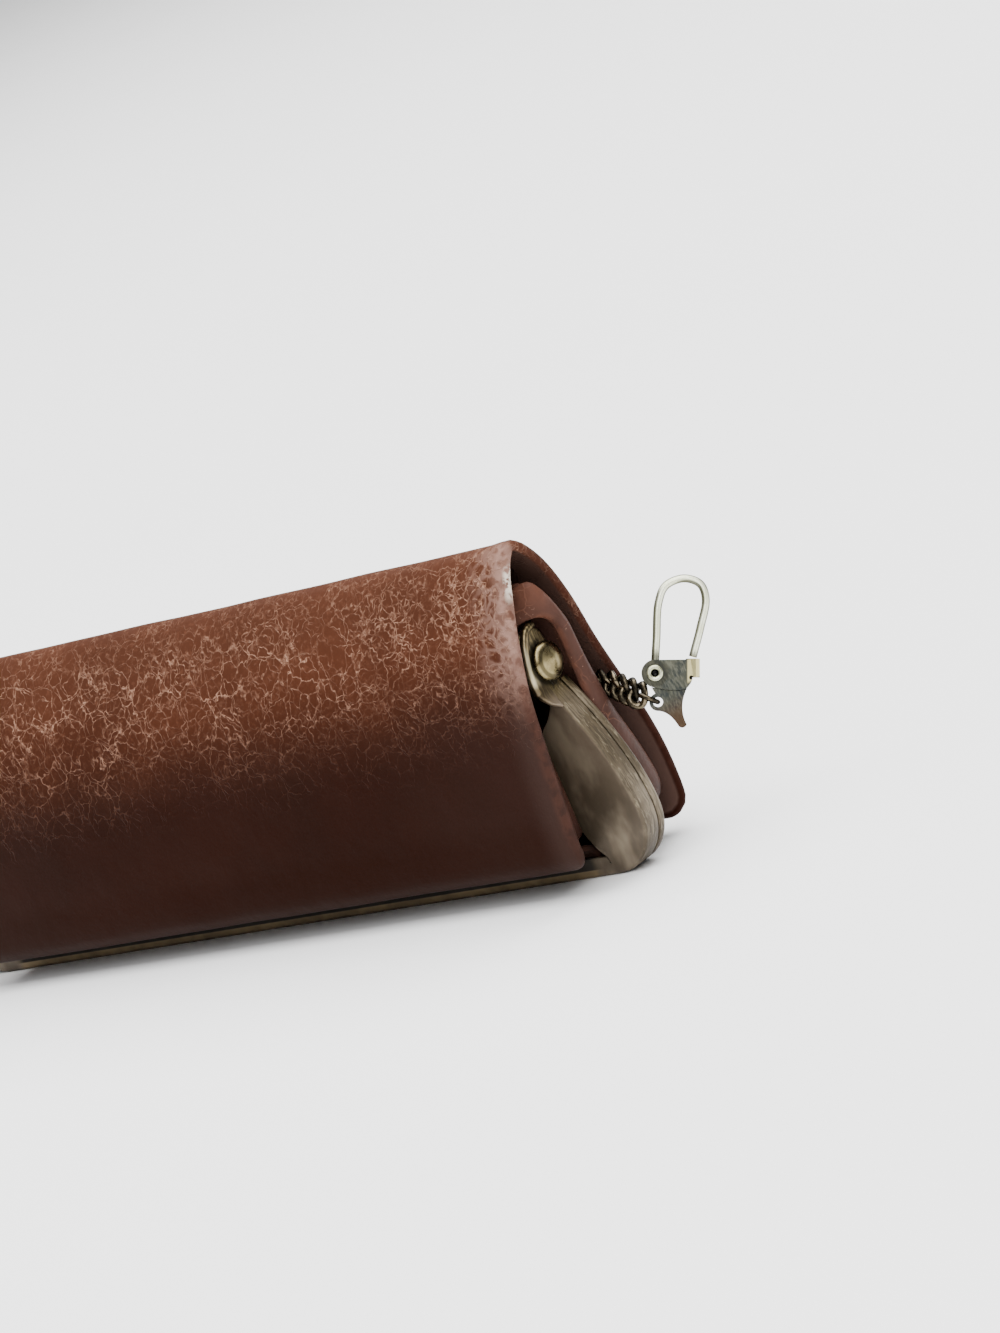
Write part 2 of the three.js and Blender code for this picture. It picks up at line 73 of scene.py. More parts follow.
# Pouch and gussets: rows of height, front and back
pouch_thickness = 1.4
pouch_step = 1.3
pouch_places = 400
lip_half = 91.5
lip_length = 13
lip_turn = 4
pouch_top = (62.6, 0.5)
pouch_rows = [
    (1.7, 2.3, 2.3),
    (4.6, 2.3, 2.3),
    (6.2, 4.4, 4.4),
    (8.2, 9.8, 10.2),
    (12, 13.2, 13.6),
    (20, 12.4, 12.6),
    (32, 11.0, 9.1),
    (44, 9.3, 7.3),
    (54, 6.5, 6.3),
    (60, 2.9, 3.6),
]
gusset_thickness = 1.6
gusset_steps = 120
gusset_columns = (0, 0.02, 0.07, 0.15, 0.25, 0.36, 0.5, 0.64, 0.75, 0.85, 0.93, 0.98, 1)
gusset_bulge = 1.8
bulge_fullness = 0.7
narrowest_gusset = 2.0
gusset_ends = (90.6, 99.6)
gusset_seat = 0.5
end_turn = (-5, 1.5)
slot_top = (55.2, -0.7)
slot_half = 3.9
slot_heights = (9.6, 12.6, 20, 32, 38, 44, 49)
slot_rows = [*((height, slot_half, slot_half) for height in slot_heights), (53, 3.0, 3.0)]
gusset_top = (62.4, 0.5)
gusset_rows = [
    (9.6, 11.3, 11.7),
    (12.6, 13.1, 13.5),
    (20, 12.3, 12.5),
    (32, 10.9, 9.0),
    (38, 10.1, 8.0),
    (44, 9.2, 7.2),
    (49, 8.0, 6.8),
    (53, 6.7, 6.3),
]

# Frame, ears and rivets: flange in rows of X and height, ears of Y and height, rivets of radius and X
frame_depth = 3.5
frame_steps = 110
frame_crease = 50
front_seam = 1.05
back_seam = 1.35
flange_metal = 0.9
rim_metal = 1.4
narrowest_flange = rim_metal + 0.4
rim_rounding = 0.75
metal_lip = 0.3
lip_corner = 0.3 * metal_lip
metal_nick = 0.1
bar_height = 4.2
bar_places = (0, 30, 60, 80)
corner_centre = 95.6
corner_radius = 12
corner_steps = 24
arm_steps = 32
arm_foot = (107.6, 12)
arm_pull = [(107.6, 22), (102.3, 33)]
arm_head = (97.4, 41.4)
flange_rows = [
    (94.5, 4.2), (92.4, 6.4), (90.5, 10.2), (89.2, 16), (88.8, 24), (89.6, 29.4), (91.3, 32.4),
    (94.0, 34.8), (96.0, 37.4), (96.9, 40),
]
hinge_y = -0.7
hinge_z = 46
front_ear = [
    (-3.5, 36.9), (-5.4, 38.4), (-6.6, 41), (-6.7, 44), (-5.9, 47.6), (-4.7, 51), (-3.0, 53.2),
    (-0.6, 53.9), (0.9, 52.6), (2.0, 49.8), (2.9, 46.4), (2.6, 43.6),
]
front_ear_neck = [(1.05, 41.7), (1.05, 36.9)]
rolled_edge = front_ear[2:8]
roll_radius = 0.85
roll_inset = (0.5, 0.6)
back_ear = [
    (-4.4, 43.3), (-6.3, 44.6), (-5.7, 47.6), (-4.5, 50.8), (-2.8, 52.8), (-0.6, 53.4),
    (1.2, 52.0), (2.8, 48.6), (3.5, 44.0),
]
back_ear_neck = [(3.5, 36.5), (1.35, 36.5), (1.35, 41.7)]
back_ear_faces = (94.5, 95.7)
ear_rounding = 0.6
ear_bevel = 0.25
rivet_crease = 60
pole_radius = 0.02
rivet_profile = [
    (0, 93.4), (2.3, 93.4), (2.5, 93.6), (2.5, 94.1), (1.5, 94.2), (1.5, 97.7), (3.7, 97.75),
    (4.0, 97.85), (4.1, 98.05), (4.05, 98.3), (3.8, 98.62), (3.3, 99.0), (2.6, 99.36),
    (1.8, 99.66), (0.9, 99.88), (0.35, 99.96), (0, 99.98),
]

# Chain and clip: the loop is a path in the clip's own plane, the eyelet rows of radius and height
wire = 1.2
link_pitch = 2.4
link_width = 5.6
link_twist = 0.66
link_bite = 0.12
link_flat = 1.3
link_count = 9
link_steps = 36
link_sides = 12
unturned_link = 4
end_ring = 1.9
end_ring_wire = 1.0
anchor_ring = 2.4
pocket_mouth = Vector((99, 10.3, 35.9))
pocket_inside = pocket_mouth - Vector((4, 0, 0))
pocket_deep = Vector((pocket_mouth.x - link_count * link_pitch, pocket_mouth.y, 36.2))
eyelet_centre = Vector((111.7, 11.8, 35.2))
chain_eye = Vector((0.6, -5.7, 0))
clip_turn = 44
clip_lean = 15
clip_roll = -23
clip_peephole = Vector((7.2, -0.9, 1.4))
clip_lobe = Vector((0, 0, 1.65))
loop_wire = 1.2
loop_sides = 24
loop_flat = 1.35
loop_steps = 110
loop_shaded_side = Vector((-0.75, -0.66, 0))
loop_foot = Vector((0, 2.4, 0))
loop_ring = 2.0
loop_path = [
    (0, 2.0), (0.3, 7), (0.7, 14), (2.1, 17.4), (5.7, 18.9), (9.0, 17.8), (10.1, 14.8), (9.0, 9),
    (7.5, 3.3),
]
loop_tip = Vector((*loop_path[-1], 0))
eyelet_bore = 0.78
eyelet_half = [
    (pole_radius, 0.4), (0.6, 0.4), (0.75, 0.55), (0.75, 1.9), (0.8, 2.15), (1.0, 2.32), (1.3, 2.35),
    (1.55, 2.25), (1.62, 2.08), (1.5, 1.95), (1.1, 1.9),
]

# Camera, light and floor: angles in degrees
camera_turn = 45.072
camera_rise = 11.956
camera_roll = -23.315
camera_target = Vector((84.24, 0, 46.61))
camera_distance = 1004.28
sensor_width = 36
lens_length = 5.010 * sensor_width
view_end = 50000
sky_strength = 0.35
floor_half = 14000
floor_fields = 8


# Shading: lengths are in millimetres, and the scale of a texture is in cells to the metre
class Tone:
    """One value in a finish, so that the finish reads as arithmetic."""

    def __init__(self, finish, socket):
        self.finish = finish
        self.socket = socket

    def maths(self, operation, *terms, clamp=False):
        settings = {"operation": operation, "use_clamp": clamp}
        return self.finish.node("Math", settings, dict(enumerate(terms)))

    def __add__(self, other):
        return self.maths("ADD", self, other)

    def __sub__(self, other):
        return self.maths("SUBTRACT", self, other)

    def __rsub__(self, other):
        return self.maths("SUBTRACT", other, self)

    def __mul__(self, other):
        return self.maths("MULTIPLY", self, other)

    __radd__ = __add__
    __rmul__ = __mul__

    def between(self, low, high):
        """0 at low, 1 at high, smooth in between."""
        settings = {"interpolation_type": "SMOOTHSTEP"}
        sockets = {"Value": self, "From Min": low, "From Max": high}
        return self.finish.node("MapRange", settings, sockets)

    def size(self):
        return self.maths("ABSOLUTE", self)

    def most(self, other):
        return self.maths("MAXIMUM", self, other)

    def clipped(self):
        return self.maths("ADD", self, 0, clamp=True)


class Finish:
    """A material in the making, with the place on the surface as x, y and z."""

    def __init__(self, name):
        self.material = bpy.data.materials.new(name)
        self.material.use_nodes = True
        self.tree = self.material.node_tree
        self.tree.nodes.clear()
        self.place = self.node("TexCoord", out="Object")
        parts = self.made("SeparateXYZ", {}, {"Vector": self.place})
        self.x, self.y, self.z = (Tone(self, parts.outputs[axis]) * PER_METRE for axis in "XYZ")

    def made(self, kind, settings=None, sockets=None):
        made = self.tree.nodes.new("ShaderNode" + kind)
        for name, value in (settings or {}).items():
            setattr(made, name, value)
        for name, value in (sockets or {}).items():
            if isinstance(value, Tone):
                self.tree.links.new(value.socket, made.inputs[name])
            else:
                made.inputs[name].default_value = value
        return made

    def node(self, kind, settings=None, sockets=None, out=0):
        return Tone(self, self.made(kind, settings, sockets).outputs[out])

    def vector(self, operation, *terms, out=0):
        return self.node("VectorMath", {"operation": operation}, dict(enumerate(terms)), out)

    def noise(self, scale, detail=3.0, rough=0.55, at=None, out="Fac"):
        sockets = {"Vector": at or self.place, "Scale": scale, "Detail": detail, "Roughness": rough}
        return self.node("TexNoise", {}, sockets, out)

    def cells(self, scale, at, feature="DISTANCE_TO_EDGE"):
        return self.node("TexVoronoi", {"feature": feature}, {"Vector": at, "Scale": scale})

    def stretched(self, x, y, z, at=None):
        """A place, scaled along each axis."""
        return self.vector("MULTIPLY", at or self.place, (x, y, z))

    def shifted(self, by, amount, at=None):
        """A place, pushed about by a noise colour."""
        centred = self.vector("SUBTRACT", by, (0.5, 0.5, 0.5))
        push = self.node("VectorMath", {"operation": "SCALE"}, {0: centred, "Scale": amount * MM})
        return self.vector("ADD", at or self.place, push)

    def reach(self, start, direction):
        """How far the place lies from a start along a direction."""
        off = self.vector("SUBTRACT", self.place, start * MM)
        return self.vector("DOT_PRODUCT", off, direction, out="Value") * PER_METRE

    def from_hinge(self):
        """Distance of the place from the line of the frame's hinge."""
        flat = self.stretched(0, 1, 1)
        return self.vector("DISTANCE", flat, (0, hinge_y * MM, hinge_z * MM), out="Value") * PER_METRE

    def from_spot(self, spot):
        """Distance of the place from a spot."""
        return self.vector("DISTANCE", self.place, spot * MM, out="Value") * PER_METRE

    def mixed(self, amount, low, high):
        """From one colour to another. A colour mix has its sockets by number."""
        return self.node("Mix", {"data_type": "RGBA"}, {0: amount, 6: low, 7: high}, 2)

    def mark(self, name):
        """A number kept on the mesh's points."""
        return self.node("Attribute", {"attribute_name": name}, {}, "Fac")

    def done(self, sockets, relief=None, strength=0.0, depth=0.0):
        if relief is not None:
            bump = {"Height": relief, "Strength": strength, "Distance": depth * MM}
            sockets = {**sockets, "Normal": self.node("Bump", {}, bump)}
        surface = self.node("BsdfPrincipled", {}, sockets)
        self.made("OutputMaterial", {}, {"Surface": surface})
        return self.material


def colour(red, green, blue):
    """A colour as the eye reads it, 0 to 255, in the shader's own scale."""
    def straight(value):
        value /= 255
        return value / 12.92 if value <= 0.04045 else ((value + 0.055) / 1.055) ** 2.4
    return (straight(red), straight(green), straight(blue), 1.0)


def crazed_place(f):
    """The place, bent so that cracks wander."""
    bent = f.shifted(f.noise(60, 4, out="Color"), 6)
    bent = f.shifted(f.noise(240, 2, out="Color"), 3.4, bent)
    return f.shifted(f.noise(800, 2, out="Color"), 0.8, bent)


def crackle(f, bent, height, fold, toward_end):
    """Broken pale lines of three sizes, where the leather is crazed."""
    broad = 1 - f.cells(125, bent).between(0.0, 0.022)
    middle = 1 - f.cells(280, bent).between(0.0, 0.050)
    small = 1 - f.cells(540, f.stretched(0.7, 1, 1, bent)).between(0.0, 0.10)
    snapped = f.noise(520, 2).between(0.38, 0.56)
    often = f.noise(110, 3).between(0.34, 0.60)
    dense = f.noise(80, 2).between(0.36, 0.58) * (0.25 + (fold + toward_end) * 0.45)
    glint = f.noise(1100, 2).between(0.38, 0.66)
    crazed = height.between(26, 48) * (1 - height.between(62, 71) * 0.6)
    lines = (broad * (0.35 + often * 0.65)).most(middle * (0.2 + often * 0.8) * (0.35 + snapped * 0.65))
    lines = lines.most(small * snapped * dense)
    return (lines * crazed * (0.3 + glint * 0.9)).clipped()


def cover_leather():
    f = Finish("cover_leather")
    bent = crazed_place(f)
    height = f.z + (f.noise(32, 3) - 0.5) * 14
    # Paler over the upper part: partly wear, partly painted light from above.
    paler = height.between(31, 59)
    fold = height.between(50, 68)
    toward_end = f.x.size().between(45, 96)
    cracks = crackle(f, bent, height, fold, toward_end)
    patch = f.noise(30, 4).between(0.36, 0.64)
    speck = f.noise(900, 3).between(0.5, 0.8)

    mark = f.mark("edge")
    edge = mark.size()
    lining = 1 - mark.between(-1.2, -0.4)
    front = 1 - f.y.between(-1, 2)
    from_end = half_cover - f.x.size()
    end = 1 - from_end.between(1, 10)
    ridges = 1 - f.cells(430, f.stretched(0.7, 1, 1, bent)).between(0.05, 0.30)
    # Painted highlight along the rolled end edge, with scuffed crackle ridges behind it.
    scuff_and_edge_highlight = (1 - from_end.between(1.5, 6)) * f.noise(240, 4).between(0.18, 0.54)
    scuff_and_edge_highlight = scuff_and_edge_highlight.most((1 - from_end.between(3, 13)) * ridges * 0.6)
    scuff_and_edge_highlight = scuff_and_edge_highlight * (0.4 + ridges * 0.5) * front * height.between(36, 54)
    rubbed = (1 - edge.between(0.6, 2.8)) * f.noise(420, 4).between(0.36, 0.60) * f.z.between(9, 16)
    frayed = (1 - edge.between(0, 1.1)) * front * f.z.between(60, 63)
    frayed = frayed * (1 - f.z.between(66, 68)) * f.noise(800, 3).between(0.42, 0.54)

    # The top and the fold are painted lighter and the lower front darker, as if lit from above, over the
    # leather's own worn tone.
    body = f.mixed(paler, colour(33, 13, 7), colour(71, 39, 26))
    body = f.mixed(patch * 0.6, body, f.mixed(paler, colour(26, 10, 5), colour(50, 25, 16)))
    body = f.mixed(fold * 0.3, body, colour(80, 50, 37))
    body = f.mixed(speck * paler * 0.4, body, colour(104, 68, 52))
    # Painted reflection: a greyish sheen over the lower front towards the ends.
    body = f.mixed(toward_end * front * (1 - paler) * 0.4, body, colour(42, 28, 24))
    # Painted shade: the front darkens towards the bottom hem, which turns away from the light.
    body = f.mixed((1 - f.z.between(8, 22)) * 0.6, body, colour(28, 8, 2))
    body = f.mixed(cracks * 0.75, body, f.mixed(paler, colour(80, 52, 42), colour(170, 129, 107)))
    # Painted reflection: a paler grey sheen on the lower front near each end.
    body = f.mixed(end * front * (1 - paler) * 0.45, body, colour(60, 46, 42))
    body = f.mixed(scuff_and_edge_highlight.clipped(), body, colour(140, 110, 98))
    body = f.mixed(rubbed * 0.35, body, colour(74, 47, 39))
    body = f.mixed(frayed * 0.9, body, colour(206, 194, 180))
    body = f.mixed(f.y.between(1, 7) * 0.6, body, colour(44, 23, 18))
    # Painted light and shade on the lining: paler low down, darker up towards the fold, where the gap lies
    # in shade.
    inside = f.mixed(f.z.between(26, 46), colour(86, 65, 58), colour(60, 43, 37))
    body = f.mixed(lining, body, inside)
    gloss = 0.36 + cracks * 0.25 + scuff_and_edge_highlight * 0.15 + f.noise(50, 3) * 0.1
    relief = f.noise(1500, 2) * 0.10 + f.noise(500, 3) * 0.16 + cracks * 0.9 + f.noise(90, 2) * 0.5
    shine = {"Specular IOR Level": 0.032, "Specular Tint": (1.0, 0.5, 0.34, 1.0)}
    return f.done({"Base Color": body, "Roughness": gloss, **shine}, relief, 0.55, 0.6)


def pouch_leather():
    f = Finish("pouch_leather")
    bent = f.shifted(f.noise(300, 2, out="Color"), 2)
    grain = f.cells(900, bent, "F1")
    mottle = f.noise(70, 4).between(0.32, 0.68)
    edge = f.mark("edge").size()
    rubbed = (1 - edge.between(0.3, 1.6)) * f.noise(320, 3).between(0.36, 0.62)
    crown = f.z.between(50, 62)
    creases = (1 - f.cells(260, bent).between(0.0, 0.05)) * f.noise(150, 3).between(0.46, 0.60)
    flecks = f.noise(1500, 2).between(0.66, 0.74) * f.noise(200, 2).between(0.44, 0.62)
    # Painted shade: the leather darkens down at the mouth, inside the frame.
    mouth = 1 - f.z.between(8, 15)
    body = f.mixed(mottle, colour(52, 34, 28), colour(70, 47, 40))
    body = f.mixed(crown * 0.65, body, f.mixed(mottle, colour(78, 47, 36), colour(102, 65, 50)))
    body = f.mixed(creases * 0.4, body, colour(112, 76, 60))
    body = f.mixed(rubbed * 0.5, body, colour(98, 62, 48))
    body = f.mixed(flecks * 0.6, body, colour(150, 118, 102))
    body = f.mixed(mouth * 0.8, body, colour(24, 15, 12))
    gloss = 0.36 + f.noise(140, 3) * 0.14
    relief = grain * 0.35 + f.noise(1200, 2) * 0.3 + f.noise(60, 2) * 0.6 + creases * 0.5
    shine = {"Specular IOR Level": 0.06}
    return f.done({"Base Color": body, "Roughness": gloss, **shine}, relief, 0.35, 0.4)


def frame_brass():
    f = Finish("frame_brass")
    cloud = f.noise(90, 5, 0.62)
    tarnish = cloud.between(0.36, 0.68)
    face = f.y.size().between(frame_depth - 0.15, frame_depth - 0.02)
    ear = f.z.between(37.5, 41.5)
    along = f.shifted(f.noise(260, 3, out="Color"), 1.2)
    streak = f.noise(1.0, 3, 0.6, f.stretched(200, 2600, 200, along))
    scratch = f.noise(1.0, 4, 0.65, f.stretched(420, 1500, 340, along)).between(0.52, 0.72) * (1 - face)
    arms = f.x.size().between(89, 93)
    # Painted shadow: near black on the bar's top, in the gap under the cover's hem, with no metal shine.
    hem_shadow = f.z.between(1.6, 1.9) * (1 - arms) * (1 - f.z.between(6, 8))
    smear = f.noise(1.0, 3, 0.5, f.stretched(150, 80, 80)).between(0.40, 0.66) * arms
    foot = (1 - f.z.between(10, 36)) * arms
    # Painted shadow: a dark ring on the ear round the rivet.
    from_stud = f.from_hinge()
    stud_shadow = from_stud.between(3.6, 4.0) * (1 - from_stud.between(4.6, 5.6)) * ear
    stud_shadow = stud_shadow * (1 - f.y.between(-1.2, 1.2))
    # Painted highlight along the ear's rolled front edge.
    rolled_highlight = (1 - f.y.between(-5.6, -4.4)) * f.z.between(42, 44) * ear
    gilt = f.mixed(streak.between(0.40, 0.60), colour(112, 98, 62), colour(62, 53, 33))

    body = f.mixed(face, colour(92, 80, 61), colour(112, 98, 82))
    # Painted light: the bar is made paler to make up for the shadow that the cover casts on it.
    body = f.mixed((1 - arms) * 0.8, body, colour(128, 110, 78))
    body = f.mixed(foot * 0.8, body, colour(66, 57, 45))
    body = f.mixed(tarnish * 0.5, body, colour(76, 65, 50))
    body = f.mixed(smear * 0.5, body, colour(152, 138, 117))
    body = f.mixed(streak.between(0.42, 0.66) * (1 - face) * 0.8, body, colour(54, 46, 33))
    body = f.mixed(scratch * (0.8 - foot * 0.4), body, colour(150, 138, 114))
    body = f.mixed(ear * 0.65, body, gilt)
    body = f.mixed(rolled_highlight * 0.7, body, colour(196, 184, 150))
    body = f.mixed(hem_shadow * 0.95, body, colour(10, 6, 4))
    body = f.mixed(stud_shadow * 0.85, body, colour(16, 13, 9))
    gloss = 0.42 + tarnish * 0.10 + streak * 0.06 - scratch * 0.08 - ear * 0.16 + hem_shadow * 0.5
    relief = streak * 0.4 + scratch * 0.5 + cloud * 0.4
    metal = (0.6 + ear * 0.38) * (1 - hem_shadow)
    return f.done({"Base Color": body, "Metallic": metal, "Roughness": gloss}, relief, 0.30, 0.3)


def rivet_brass():
    f = Finish("rivet_brass")
    paler = f.noise(420, 4, 0.6).between(0.38, 0.62)
    from_axis = f.from_hinge()
    # Painted shade: a dark ring on the smooth dome, as if in a groove.
    ring_shade = from_axis.between(2.7, 3.0) * (1 - from_axis.between(3.4, 3.7))
    body = f.mixed(paler, colour(112, 100, 70), colour(138, 126, 92))
    body = f.mixed(ring_shade * 0.7, body, colour(40, 34, 22))
    gloss = 0.26 + paler * 0.08
    return f.done({"Base Color": body, "Metallic": 1.0, "Roughness": gloss}, f.noise(1500, 3), 0.05, 0.2)


def chain_brass():
    f = Finish("chain_brass")
    dark = f.noise(420, 4, 0.6).between(0.34, 0.62)
    body = f.mixed(dark, colour(104, 94, 76), colour(40, 36, 29))
    gloss = 0.18 + dark * 0.2
    return f.done({"Base Color": body, "Metallic": 1.0, "Roughness": gloss}, f.noise(1600, 3), 0.2, 0.2)


def clip_body_brass():
    f = Finish("clip_body_brass")
    brushed = f.noise(1.0, 3, 0.6, f.stretched(2600, 2600, 240))
    cloud = f.noise(300, 4)
    low = 1 - f.z.between(25, 31)
    place = clip_place()
    aside = place.to_3x3() @ ACROSS
    socket = f.reach(eyelet_centre, aside).between(6.3, 6.6) * f.z.between(31.2, 31.8)
    # Painted shade: a dark spot stands for the socket's hole.
    peephole = 1 - f.from_spot(place @ clip_peephole).between(0.4, 0.6)
    lobe = 1 - f.from_spot(place @ clip_lobe).between(2.4, 3.0)
    body = f.mixed(cloud.between(0.35, 0.65), colour(72, 72, 62), colour(44, 48, 48))
    body = f.mixed(brushed.between(0.4, 0.7) * 0.6, body, colour(98, 98, 86))
    body = f.mixed(lobe * 0.5, body, colour(46, 44, 34))
    body = f.mixed(low * 0.8, body, colour(66, 46, 32))
    body = f.mixed(socket * 0.9, body, colour(188, 178, 130))
    body = f.mixed(peephole, body, colour(10, 9, 7))
    gloss = 0.26 + brushed * 0.16
    return f.done({"Base Color": body, "Metallic": 1.0, "Roughness": gloss}, brushed, 0.12, 0.2)


def clip_brass():
    f = Finish("clip_brass")
    cloud = f.noise(260, 4)
    shaded = f.mark("edge").between(0.10, 0.50)
    place = clip_place()
    # Painted shade: the wire darkens where its ends meet the body.
    foot = 1 - f.from_spot(place @ loop_foot).between(1.2, 3.0)
    tip = 1 - f.from_spot(place @ loop_tip).between(0.4, 1.8)
    body = f.mixed(cloud.between(0.35, 0.7), colour(240, 242, 218), colour(222, 224, 192))
    body = f.mixed(shaded * 0.92, body, colour(60, 59, 39))
    body = f.mixed(foot.most(tip) * 0.8, body, colour(56, 52, 38))
    gloss = 0.24 + cloud * 0.14
    return f.done({"Base Color": body, "Metallic": 0.55, "Roughness": gloss}, f.noise(1400, 2), 0.12, 0.2)


def eyelet_brass():
    f = Finish("eyelet_brass")
    cloud = f.noise(500, 4)
    # Painted shade: the bore's recess is near black.
    hole = 1 - f.mark("edge").between(0.2, 0.8)
    body = f.mixed(cloud.between(0.35, 0.7), colour(206, 208, 180), colour(164, 164, 130))
    body = f.mixed(hole, body, colour(8, 8, 7))
    gloss = 0.20 + cloud * 0.16
    return f.done({"Base Color": body, "Metallic": 0.8, "Roughness": gloss}, cloud, 0.15, 0.2)


def floor_paper():
    f = Finish("floor_paper")
    body = f.mixed(f.noise(3, 2), colour(246, 246, 246), colour(250, 250, 250))
    return f.done({"Base Color": body, "Roughness": 0.9})


# Lines
def evenly(line, places):
    """Points of a line at fractions of its length."""
    reach = [0.0]
    for a, b in zip(line, line[1:]):
        reach.append(reach[-1] + (b - a).length)
    points = []
    k = 0
    for place in places:
        want = min(max(place, 0.0), 1.0) * reach[-1]
        while k + 2 < len(reach) and reach[k + 1] < want:
            k += 1
        span = reach[k + 1] - reach[k] or 1.0
        points.append(line[k].lerp(line[k + 1], (want - reach[k]) / span))
    return points


def line_length(line):
    return sum((b - a).length for a, b in zip(line, line[1:]))


def smooth_line(points, steps=12):
    """A smooth line through points."""
    knots = [Vector(p) for p in points]
    ends = [2 * knots[0] - knots[1], *knots, 2 * knots[-1] - knots[-2]]
    line = []
    for a, b, c, d in zip(ends, ends[1:], ends[2:], ends[3:]):
        t1 = (b - a).length ** 0.5
        t2 = t1 + (c - b).length ** 0.5
        t3 = t2 + (d - c).length ** 0.5
        for k in range(steps):
            t = t1 + (t2 - t1) * k / steps
            ab = a.lerp(b, t / t1)
            bc = b.lerp(c, (t - t1) / (t2 - t1))
            cd = c.lerp(d, (t - t2) / (t3 - t2))
            abc = ab.lerp(bc, t / t2)
            bcd = bc.lerp(cd, (t - t1) / (t3 - t1))
            line.append(abc.lerp(bcd, (t - t1) / (t2 - t1)))
    line.append(knots[-1])
    return line


def folded_line(rows, top, back_heights=()):
    """Up the front, over the top and down the back, whose lowest rows may have heights of their own."""
    heights = [*back_heights, *(row[0] for row in rows[len(back_heights):])]
    front = [(0, -row[1], row[0]) for row in rows]
    back = [(0, row[2], height) for row, height in zip(rows, heights)]
    return smooth_line([*front, (0, top[1], top[0]), *reversed(back)])


def steps_of(length, step, edge):
    """Distances along a length, close together within a rounded edge."""
    round_part = [edge * (1 - math.cos(math.radians(a))) for a in (0, 22, 45, 68, 90)]
    count = max(int((length - 2 * edge) / step), 2)
    flat = [edge + (length - 2 * edge) * k / count for k in range(1, count)]
    return round_part + flat + [length - d for d in reversed(round_part)]


def wave(x, y, z, size):
    """Gentle unevenness, up to half above and half below."""
    return 0.5 * noise.noise(Vector((x / size, y / size, z / size)))


def eased(t):
    """From 0 to 1, smooth at both ends."""
    t = min(max(t, 0.0), 1.0)
    return t * t * (3 - 2 * t)


# Meshes
class Mould:
    """Points and faces of one piece, with a mark on each point."""

    def __init__(self):
        self.points = []
        self.faces = []
        self.marks = []

    def point(self, p, mark=0.0):
        self.points.append(Vector(p) * MM)
        self.marks.append(mark)
        return len(self.points) - 1

    def rings(self, rings, closed=True, looped=False, caps=False):
        """A skin over rings of the same number of points."""
        rows = [[self.point(p) for p in ring] for ring in rings]
        count = len(rows[0])
        pairs = list(zip(rows, rows[1:]))
        if looped:
            pairs.append((rows[-1], rows[0]))
        for a, b in pairs:
            for k in range(count if closed else count - 1):
                n = (k + 1) % count
                self.faces.append((a[k], a[n], b[n], b[k]))
        if caps:
            self.faces.append(tuple(reversed(rows[0])))
            self.faces.append(tuple(rows[-1]))

    def shell(self, place, rows, columns, thickness):
        """Two skins of leather that meet in a round edge. place gives middle, normal, edge distance.

        The distance is kept as the mark, below nought on the inner skin."""
        half = thickness / 2
        outer, inner = [], []
        for i in range(rows):
            outer.append([])
            inner.append([])
            for j in range(columns):
                middle, normal, edge = place(i, j)
                short = 1 - min(edge, half) / half
                rise = half * math.sqrt(max(1 - short * short, 0.0))
                outer[-1].append(self.point(middle + normal * rise, edge))
                if i in (0, rows - 1) or j in (0, columns - 1):
                    inner[-1].append(outer[-1][-1])
                else:
                    inner[-1].append(self.point(middle - normal * rise, -edge))
        for i in range(rows - 1):
            for j in range(columns - 1):
                self.faces.append((outer[i][j], outer[i][j + 1], outer[i + 1][j + 1], outer[i + 1][j]))
                self.faces.append((inner[i][j], inner[i + 1][j], inner[i + 1][j + 1], inner[i][j + 1]))

    def made(self, name, material):
        mesh = bpy.data.meshes.new(name)
        mesh.from_pydata([p[:] for p in self.points], [], self.faces)
        mesh.update()
        marks = mesh.attributes.new("edge", "FLOAT", "POINT")
        marks.data.foreach_set("value", self.marks)
        mesh.materials.append(material)
        made = bpy.data.objects.new(name, mesh)
        bpy.context.scene.collection.objects.link(made)
        return made

    def piece(self, name, material, body, node, slot, crease=None):
        made = self.made(name, material)
        made.data.shade_smooth()
        if crease:
            made.data.set_sharp_from_angle(angle=math.radians(crease))
        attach(made, body)
        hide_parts(node)


def made_outward(mould):
    """Turns every face of a mould outward where the whole is inside out."""
    volume = 0.0
    for face in mould.faces:
        a = mould.points[face[0]]
        for k in range(1, len(face) - 1):
            volume += a.dot(mould.points[face[k]].cross(mould.points[face[k + 1]]))
    if volume < 0:
        mould.faces = [tuple(reversed(face)) for face in mould.faces]
    return mould


def bent_shell(line, half_length, thickness, step, from_ends, swell=None):
    """Leather folded over the top, from its outside line."""
    near = 0.3
    stride = 1.6 * step
    length = line_length(line)
    reach = steps_of(length, step, thickness / 2)
    middle_line = evenly(line, [d / length for d in reach])
    ahead = evenly(line, [(d + near) / length for d in reach])
    behind = evenly(line, [(d - near) / length for d in reach])
    outs = []
    for a, b in zip(ahead, behind):
        along = (a - b).normalized()
        outs.append(Vector((0, -along.z, along.y)))
    widest = max(half_length(d, length) for d in reach)
    across = [x - widest for x in steps_of(2 * widest, stride, thickness / 2)]

    def place(i, j):
        d = reach[i]
        x = across[j] * half_length(d, length) / widest
        edge = max(from_ends(x, d, length), 0.0)
        p = middle_line[i]
        lift = swell(x, d / length, p) if swell else 0.0
        return Vector((x, p.y, p.z)) + outs[i] * (lift - thickness / 2), outs[i], edge

    mould = Mould()
    mould.shell(place, len(reach), len(across), thickness)
    return made_outward(mould)


